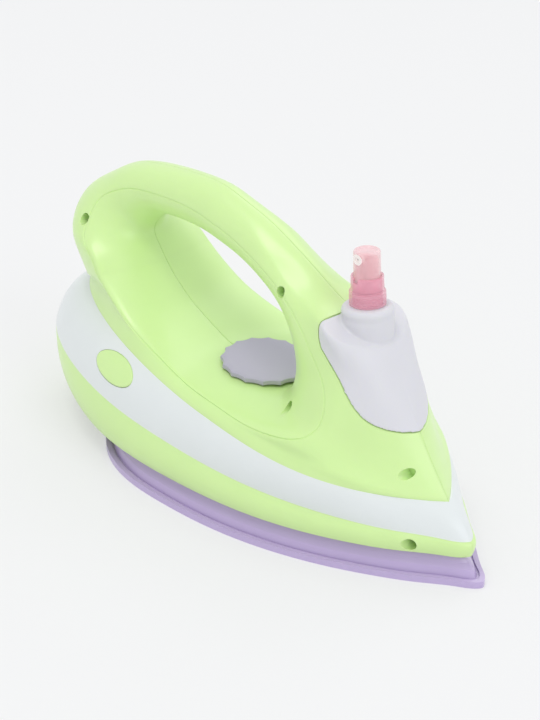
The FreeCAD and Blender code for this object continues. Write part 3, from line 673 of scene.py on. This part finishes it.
def cut_above(obj, drop):
    """Cut off what is above the bottle's sloping top, lowered by drop."""
    bm = bmesh.new()
    bm.from_mesh(obj.data)
    up = Vector((math.sin(TOP_SLOPE), 0, math.cos(TOP_SLOPE)))
    place = (Vector(TOP_POINT) - Vector((0, 0, drop))) * MM
    geometry = bm.verts[:] + bm.edges[:] + bm.faces[:]
    cut = bmesh.ops.bisect_plane(bm, geom=geometry, plane_co=place, plane_no=up,
                                 clear_outer=True)
    edges = [e for e in cut["geom_cut"] if isinstance(e, bmesh.types.BMEdge)]
    bmesh.ops.triangle_fill(bm, use_beauty=True, edges=edges)
    bmesh.ops.recalc_face_normals(bm, faces=bm.faces)
    bm.to_mesh(obj.data)
    bm.free()


def block(name, low, high, bevel):
    """Box with rounded upright corners."""
    bm = bmesh.new()
    bmesh.ops.create_cube(bm, size=1.0)
    for vert in bm.verts:
        for k in range(3):
            vert.co[k] = (low[k] if vert.co[k] < 0 else high[k]) * MM
    upright = [e for e in bm.edges if abs(e.verts[0].co.z - e.verts[1].co.z) > 1e-6]
    bmesh.ops.bevel(bm, geom=upright, offset=bevel * MM, segments=6, affect="EDGES")
    return to_object(name, bm)


def joined(name, objects):
    """One object of several loose ones, which are removed."""
    bm = bmesh.new()
    for obj in objects:
        bm.from_mesh(obj.data)
        bpy.data.objects.remove(obj)
    return to_object(name, bm)


def relaxed(obj, voxel, passes):
    """Turn overlapping forms into one closed skin with its edges softened."""
    applied(obj, "REMESH", "skin", mode="VOXEL", voxel_size=voxel * MM, adaptivity=0.0)
    return applied(obj, "SMOOTH", "soften", factor=0.5, iterations=passes)


def bottle_form(name, wall, drop, grow, keel_in, neck):
    """The body between the cheeks, its sloping top, its keel and its neck, as loose forms."""
    form = cheek_mesh(name + "_near", wall=wall, drop=drop)
    combine(form, mirrored(form, name + "_far"), "UNION")
    whole = copy_of(form, name + "_whole")
    combine(form, prism(name + "_prism", pocket_outline(grow), -REACH, REACH), "INTERSECT")
    cut_above(form, wall)
    low, high = KEEL
    keel = block(name + "_keel", [k + keel_in for k in low], [k - keel_in for k in high],
                 KEEL_CORNER - keel_in)
    cut_above(keel, wall + KEEL_TOP)
    combine(keel, whole, "INTERSECT")
    return joined(name, [form, keel, neck])


def water_bottle():
    neck = lathe("neck", NECK, PUMP_FOOT, PUMP_LEAN)
    bottle = bottle_form("bottle", 0.0, 0.0, -FIT, 0.0, neck)
    relaxed(bottle, SKIN_VOXEL, SKIN_PASSES)
    room = lathe("neck_room", NECK_ROOM, PUMP_FOOT, PUMP_LEAN)
    inner = bottle_form("bottle_room", BOTTLE_WALL, CORE_DROP, -FIT - BOTTLE_WALL, 1.8, room)
    relaxed(inner, ROOM_VOXEL, 1)
    combine(bottle, inner, "DIFFERENCE")
    combine(bottle, lathe("spout", SPOUT, PUMP_FOOT, PUMP_LEAN), "UNION")
    combine(bottle, lathe("bore", BORE, PUMP_FOOT, PUMP_LEAN), "DIFFERENCE")
    smooth(bottle)
    dress(bottle, bottle_white, "casing", "bottle_plastic", "water_bottle")


# ------------------------------------------------------------------ dial
DIAL_CENTRE = (0.6, 0.0, 53.4)
DIAL_TILT = math.radians(4.0)
DIAL_R = 20.2
DIAL_DIP = 1.15           # depth of a scallop
DIAL_T = 2.2
SCALLOPS = 16
PER_SCALLOP = 10          # points round each one
DIAL_SIDE = [(-DIAL_T, 0.3), (-DIAL_T + 0.3, 0.0), (-0.55, 0.0), (-0.16, 0.12),
             (0.0, 0.5), (0.0, 3.0)]        # height, inset of its scalloped rings
DIAL_FLAT_IN = 12.0       # inset of the round ring in the middle of its face
DIAL_SHAFT = [(0, -1), (4.0, -1), (4.0, -9.35), (1.4, -9.35), (1.4, -4), (0, -4)]


def dial():
    bm = bmesh.new()
    count = SCALLOPS * PER_SCALLOP
    rings = []
    for z, inward in DIAL_SIDE + [(0.0, DIAL_FLAT_IN)]:
        ring = []
        for k in range(count):
            turn = 2 * math.pi * k / count
            part = (k % PER_SCALLOP) / PER_SCALLOP
            depth = DIAL_DIP * (1 - (2 * part - 1) ** 2) if inward < DIAL_FLAT_IN else 0.0
            r = (DIAL_R - depth - inward) * MM
            ring.append(bm.verts.new((r * math.cos(turn), r * math.sin(turn), z * MM)))
        rings.append(ring)
    for a, b in zip(rings, rings[1:]):
        for k in range(count):
            n = (k + 1) % count
            bm.faces.new((a[k], a[n], b[n], b[k]))
    bm.faces.new(rings[0][::-1])
    bm.faces.new(rings[-1])
    bmesh.ops.recalc_face_normals(bm, faces=bm.faces)
    bmesh.ops.rotate(bm, verts=bm.verts, cent=(0, 0, 0),
                     matrix=Matrix.Rotation(DIAL_TILT, 3, "Y"))
    bmesh.ops.translate(bm, verts=bm.verts, vec=Vector(DIAL_CENTRE) * MM)
    face = to_object("dial_face", bm)
    shaft = lathe("dial_shaft", DIAL_SHAFT, DIAL_CENTRE, DIAL_TILT)
    piece = joined("dial_knob", [face, shaft])
    smooth(piece, 28.0)
    dress(piece, dial_lilac, "dial", "dial_plastic", "dial")


# ------------------------------------------------------------------ screw collar
COLLAR_R = 7.75
COLLAR_UPPER = [(7.6, 6.1), (7.2, 6.25), (7.02, 6.6), (6.9, 12.3), (6.8, 12.6), (6.15, 12.6)]
COLLAR_INSIDE = [(6.15, 6.8), (2.4, 6.8), (2.4, 5.25), (6.38, 5.25)]
RIBS = 5                  # fine rings round its lower step
FIRST_RIB = 1.3
RIB_PITCH = 0.72
RIB_DEPTH = 0.14
NOTCH = ((61.0, 5.5, 113.4), (63.5, 7.5, 117.0))     # one a side in its upper edge


def collar():
    wall = []
    for k in range(RIBS):
        foot = FIRST_RIB + RIB_PITCH * k
        wall += [(COLLAR_R, foot), (COLLAR_R - RIB_DEPTH, foot + 0.12),
                 (COLLAR_R - RIB_DEPTH, foot + 0.32), (COLLAR_R, foot + 0.44)]
    profile = ([(6.38, 0), (7.5, 0), (COLLAR_R, 0.25)] + wall + [(COLLAR_R, 5.7)]
               + COLLAR_UPPER + COLLAR_INSIDE)
    piece = lathe("screw_collar", profile, PUMP_FOOT, PUMP_LEAN)
    (x0, y0, z0), (x1, y1, z1) = NOTCH
    for low, high in ((-y1, -y0), (y0, y1)):
        combine(piece, block("notch", (x0, low, z0), (x1, high, z1), 0.3), "DIFFERENCE")
    smooth(piece, 25.0)
    dress(piece, rose_clear, "collar", "pink_collar_plastic", "pump_collar")


upper_shells()
water_bottle()
dial()
collar()


# ------------------------------------------------------------------ room
BACKDROP = (239, 239, 239)
FLOOR_GLOW = 0.55         # share of the floor's own tone that the camera sees
FLOOR_SIZE = 12.0         # m
SKY_TINT = (0.95, 0.97, 1.0, 1.0)
SKY_STRENGTH = 0.88
LAMP_TARGET = Vector((0, 0, 0.05))
LAMPS = (                 # name, place in m, size in m, watts, tint
    ("key", (-0.2, -0.45, 1.9), 0.6, 7.0, (1.0, 0.98, 0.95)),
    ("fill", (2.4, -0.2, 1.5), 1.4, 13.0, (0.95, 0.97, 1.0)),
    ("back", (-1.0, 2.2, 2.2), 1.6, 9.0, (1.0, 1.0, 1.0)),
)


def floor_paper():
    """Pale paper whose own tone is the backdrop's, with the object's soft shadow on it."""
    material = plastic("floor_paper", BACKDROP, 0.95, mottle=0.0)
    nodes = material.node_tree.nodes
    links = material.node_tree.links
    glow = nodes.new("ShaderNodeEmission")
    glow.inputs["Color"].default_value = srgb(*BACKDROP)
    path = nodes.new("ShaderNodeLightPath")
    share = nodes.new("ShaderNodeMath")
    share.operation = "MULTIPLY"
    share.inputs[1].default_value = FLOOR_GLOW
    links.new(path.outputs["Is Camera Ray"], share.inputs[0])
    mix = nodes.new("ShaderNodeMixShader")
    links.new(share.outputs["Value"], mix.inputs["Fac"])
    links.new(nodes["Principled BSDF"].outputs["BSDF"], mix.inputs[1])
    links.new(glow.outputs["Emission"], mix.inputs[2])
    links.new(mix.outputs["Shader"], nodes["Material Output"].inputs["Surface"])
    return material


def sky():
    """Soft even light, which the camera sees as the plain backdrop."""
    world = bpy.data.worlds.new("room")
    scene.world = world
    world.use_nodes = True
    nodes = world.node_tree.nodes
    links = world.node_tree.links
    nodes.clear()
    out = nodes.new("ShaderNodeOutputWorld")
    light = nodes.new("ShaderNodeBackground")
    light.inputs["Color"].default_value = SKY_TINT
    light.inputs["Strength"].default_value = SKY_STRENGTH
    seen = nodes.new("ShaderNodeBackground")
    seen.inputs["Color"].default_value = srgb(*BACKDROP)
    seen.inputs["Strength"].default_value = 1.0
    path = nodes.new("ShaderNodeLightPath")
    either = nodes.new("ShaderNodeMath")
    either.operation = "MAXIMUM"
    links.new(path.outputs["Is Camera Ray"], either.inputs[0])
    links.new(path.outputs["Is Transmission Ray"], either.inputs[1])
    mix = nodes.new("ShaderNodeMixShader")
    links.new(either.outputs["Value"], mix.inputs["Fac"])
    links.new(light.outputs["Background"], mix.inputs[1])
    links.new(seen.outputs["Background"], mix.inputs[2])
    links.new(mix.outputs["Shader"], out.inputs["Surface"])


def floor_and_lamps():
    bpy.ops.mesh.primitive_plane_add(size=FLOOR_SIZE, location=(0, 0, 0))
    floor = bpy.context.object
    floor.name = "floor"
    floor.data.materials.append(floor_paper())
    for name, place, size, power, tint in LAMPS:
        data = bpy.data.lights.new(name, "AREA")
        data.shape = "SQUARE"
        data.size = size
        data.energy = power
        data.color = tint
        lamp = bpy.data.objects.new(name, data)
        lamp.location = place
        lamp.rotation_euler = (LAMP_TARGET - Vector(place)).to_track_quat("-Z", "Y").to_euler()
        scene.collection.objects.link(lamp)


photo_camera()
sky()
floor_and_lamps()
